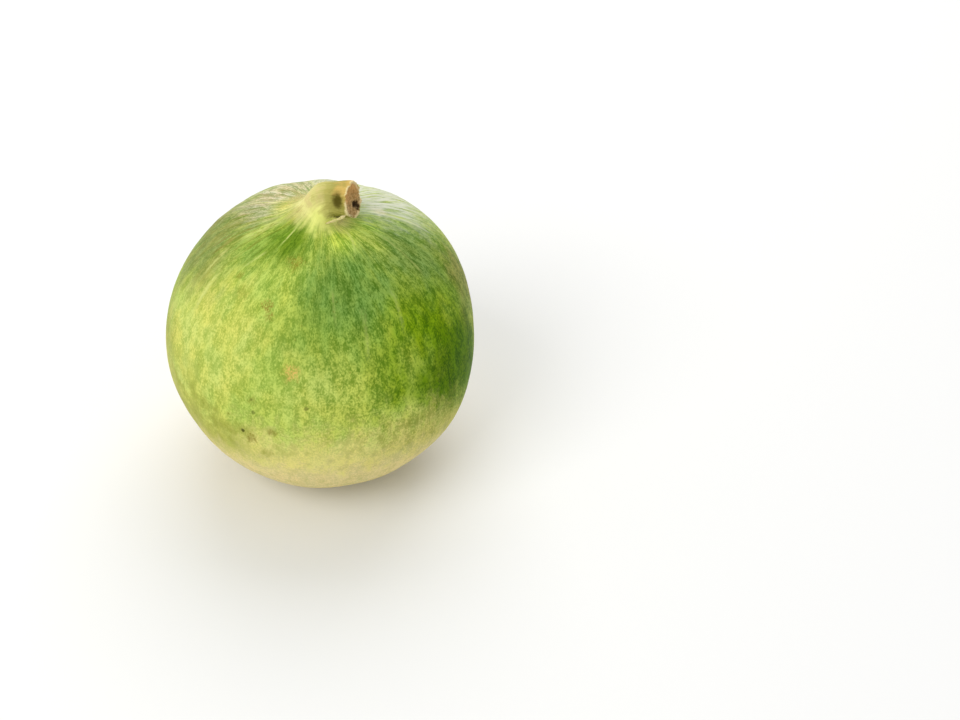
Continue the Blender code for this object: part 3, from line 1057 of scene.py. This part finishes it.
# Dark olive of the stem's flecks, and of the painted shade in its dent
STALK_DARK_AND_DENT_SHADE = srgb(84, 76, 10)
# Pale cream: the peel's own colour, and a painted highlight along the cut's rim
PEEL_PALE_AND_RIM_HIGHLIGHT = srgb(232, 214, 160)
CUT_TAN = srgb(206, 172, 116)
CUT_ORANGE = srgb(222, 168, 98)
CUT_BROWN = srgb(134, 106, 56)
CUT_DARK = srgb(50, 34, 8)


def stem_patterns(s):
    """Where a point of the stem lies, and the patterns that its side and its cut share."""
    growth = s.attribute("growth")
    low, aside, radial = s.parts(s.attribute("cut"))
    return SimpleNamespace(
        growth=growth,
        low=low,
        aside=aside,
        radial=radial,
        up=s.maths("MULTIPLY", s.parts(growth)[2], -GROWTH_UNIT / MM),
        streaks=s.noise(growth, (7, 7, 1.6), (6, 2, 3), detail=4, roughness=0.6),
        fibres=s.noise(growth, (14, 14, 5), (3, 3, 1), detail=3, roughness=0.6),
        flecks=s.noise(s.position(), (1300,) * 3, (1, 2, 3), detail=3, roughness=0.65),
        patches=s.noise(s.position(), (330,) * 3, (4, 2, 1), detail=2),
    )


def side_colour(s, p):
    """The neck's pale colour, worn to olive up the stem and ochre on top, with pale fibres, dark flecks and
    painted shade in its dent.
    """
    colour = neck_colour(s, NECK_PALE, p.up, p.streaks, p.growth)
    bare = s.step(p.up, *COLLAR_END)
    worn = s.total(p.up, (s.around_zero(p.fibres), 6), (s.around_zero(p.patches), 4))
    colour = s.mix(s.product(s.step(worn, 1, 10), bare), colour, STALK_OLIVE)
    worn = s.step(s.total(worn, (s.around_zero(p.patches), 6)), 5, 10)
    upper = s.product(s.step(p.low, 0.1, -0.8), worn, bare)
    colour = s.mix(s.product(upper, 0.9), colour, STALK_OCHRE)
    colour = s.mix(s.product(s.step(p.fibres, 0.52, 0.70), bare, 0.45), colour, STALK_PALE)
    colour = s.mix(s.product(s.step(p.flecks, 0.55, 0.75), bare, 0.35), colour, STALK_DARK_AND_DENT_SHADE)
    # Painted shade in the dent: dark olive laid where the dent lies, frayed at its edge
    frayed = (s.around_zero(p.patches), 0.7), (s.around_zero(p.flecks), 0.4)
    dent_shade = s.total(s.attribute("dent_shade", "Fac"), *frayed)
    return s.mix(s.product(s.step(dent_shade, 0.18, 0.85), 0.95), colour, STALK_DARK_AND_DENT_SHADE)


def cut_colour(s, p):
    """Dry torn tissue, more orange towards the top, with a dark hollow."""
    colour = s.mix(s.step(p.flecks, 0.32, 0.68), CUT_BROWN, CUT_TAN)
    top = s.step(s.total(p.low, (s.around_zero(p.patches), 1.2)), 0.25, -0.45)
    colour = s.mix(s.product(top, 0.7), colour, CUT_ORANGE)
    hollow_share, hollow_around, spread, _ = FACE_HOLLOW
    down_off = s.maths("SUBTRACT", p.low, hollow_share * math.cos(hollow_around))
    side_off = s.maths("SUBTRACT", p.aside, hollow_share * math.sin(hollow_around))
    away = s.maths("SQRT", s.total(s.product(down_off, down_off), (s.product(side_off, side_off), 1.0)))
    away = s.total(away, (s.around_zero(p.patches), 0.35), (s.around_zero(p.flecks), 0.25))
    return s.mix(s.product(s.step(away, spread * 1.3, spread * 0.5), 0.95), colour, CUT_DARK)


def stem_material():
    s = Shader("stem_tissue")
    p = stem_patterns(s)
    colour = s.mix(s.attribute("face", "Fac"), side_colour(s, p), cut_colour(s, p))
    # Painted highlight: a pale line along the lit edge of the cut's rim, broken into patches
    rim = s.product(s.step(p.radial, 0.82, 0.92), s.step(p.radial, 1.10, 1.02))
    rim = s.product(rim, s.step(s.total(p.patches, (p.flecks, 0.3)), 0.48, 0.62))
    colour = s.mix(s.product(rim, 0.8), colour, PEEL_PALE_AND_RIM_HIGHLIGHT)
    s.feed(s.surface.inputs["Base Color"], colour)
    s.surface.inputs["Roughness"].default_value = STEM_ROUGHNESS
    s.surface.inputs["Specular IOR Level"].default_value = STEM_SPECULAR
    s.bump(s.total(p.fibres, (p.flecks, 1.0)), STEM_BUMPS)
    return s.material


def peel_material():
    s = Shader("peel_tissue")
    flecks = s.noise(s.position(), (1500, 1500, 1500), (5, 2, 3), detail=3, roughness=0.65)
    patches = s.noise(s.position(), (420, 420, 420), (4, 2, 6), detail=2)
    colour = s.mix(s.step(flecks, 0.35, 0.7), PEEL_PALE_AND_RIM_HIGHLIGHT, STALK_PALE)
    colour = s.mix(s.product(s.step(patches, 0.5, 0.66), 0.4), colour, CUT_BROWN)
    s.feed(s.surface.inputs["Base Color"], colour)
    s.surface.inputs["Roughness"].default_value = PEEL_ROUGHNESS
    s.bump(flecks, PEEL_BUMPS)
    return s.material


def plain_material(name, colour, roughness):
    s = Shader(name)
    s.surface.inputs["Base Color"].default_value = colour
    s.surface.inputs["Roughness"].default_value = roughness
    return s.material


# Studio: a pale floor and world, and two soft lights, given by name, place, size in metres and watts
FLOOR_SIZE = 12.0
FLOOR_COLOUR = (0.86, 0.86, 0.85, 1)
WORLD_STRENGTH = 0.54
LIGHTS = (
    ("behind", (0.1, 0.7, 1.0), 1.2, 8.5),
    ("key", (-0.8, -0.8, 1.1), 0.9, 12.0),
)


def build_studio():
    mesh = bpy.data.meshes.new("floor")
    half = FLOOR_SIZE / 2
    square = [(-half, -half, 0), (half, -half, 0), (half, half, 0), (-half, half, 0)]
    mesh.from_pydata(square, [], [(0, 1, 2, 3)])
    mesh.materials.append(plain_material("floor", FLOOR_COLOUR, FLOOR_ROUGHNESS))
    floor = bpy.data.objects.new("floor", mesh)
    bpy.context.scene.collection.objects.link(floor)
    world = bpy.data.worlds.new("studio")
    world.use_nodes = True
    background = world.node_tree.nodes["Background"]
    background.inputs["Color"].default_value = (1, 1, 1, 1)
    background.inputs["Strength"].default_value = WORLD_STRENGTH
    bpy.context.scene.world = world
    for name, place, size, power in LIGHTS:
        data = bpy.data.lights.new(name, "AREA")
        data.size = size
        data.energy = power
        lamp = bpy.data.objects.new(name, data)
        lamp.location = place
        lamp.rotation_mode = "QUATERNION"
        lamp.rotation_quaternion = (Vector(CENTRE) - Vector(place)).to_track_quat("-Z", "Y")
        bpy.context.scene.collection.objects.link(lamp)
    bpy.context.scene.view_settings.view_transform = "Standard"


def build_camera():
    """A camera that looks down on the fruit and holds it where the photo does, with no shift."""
    half_angle = math.asin(FRUIT_WIDTH / 2 / CAMERA_DISTANCE)
    focal = FRUIT_PIXELS_WIDE * CAMERA_DISTANCE / FRUIT_WIDTH * math.cos(half_angle)
    data = bpy.data.cameras.new("photo_camera")
    data.sensor_width = SENSOR_WIDTH
    data.lens = SENSOR_WIDTH * focal / PHOTO_WIDTH
    camera = bpy.data.objects.new("photo_camera", data)
    back = Vector((0, -math.cos(CAMERA_ELEVATION), math.sin(CAMERA_ELEVATION)))
    camera.location = Vector(CENTRE) + back * CAMERA_DISTANCE
    aside = math.atan((PHOTO_WIDTH / 2 - FRUIT_PIXEL[0]) / focal)
    below = math.atan((PHOTO_HEIGHT / 2 - FRUIT_PIXEL[1]) / focal)
    look = (-back).to_track_quat("-Z", "Y")
    camera.rotation_mode = "QUATERNION"
    camera.rotation_quaternion = look @ Quaternion((0, 1, 0), -aside) @ Quaternion((1, 0, 0), -below)
    bpy.context.scene.collection.objects.link(camera)
    bpy.context.scene.camera = camera


def corners(bounds):
    return [list(corner) for corner in bounds]


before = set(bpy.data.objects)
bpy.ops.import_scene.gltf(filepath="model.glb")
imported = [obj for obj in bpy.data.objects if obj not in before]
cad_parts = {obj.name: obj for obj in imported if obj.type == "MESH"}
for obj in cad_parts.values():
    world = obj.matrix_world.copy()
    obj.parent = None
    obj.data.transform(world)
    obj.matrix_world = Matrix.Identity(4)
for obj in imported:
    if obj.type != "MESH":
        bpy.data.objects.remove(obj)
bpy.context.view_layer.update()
build_camera()
build_studio()
build_skin(skin_material())
build_stem(stem_material())
build_peel(peel_material())
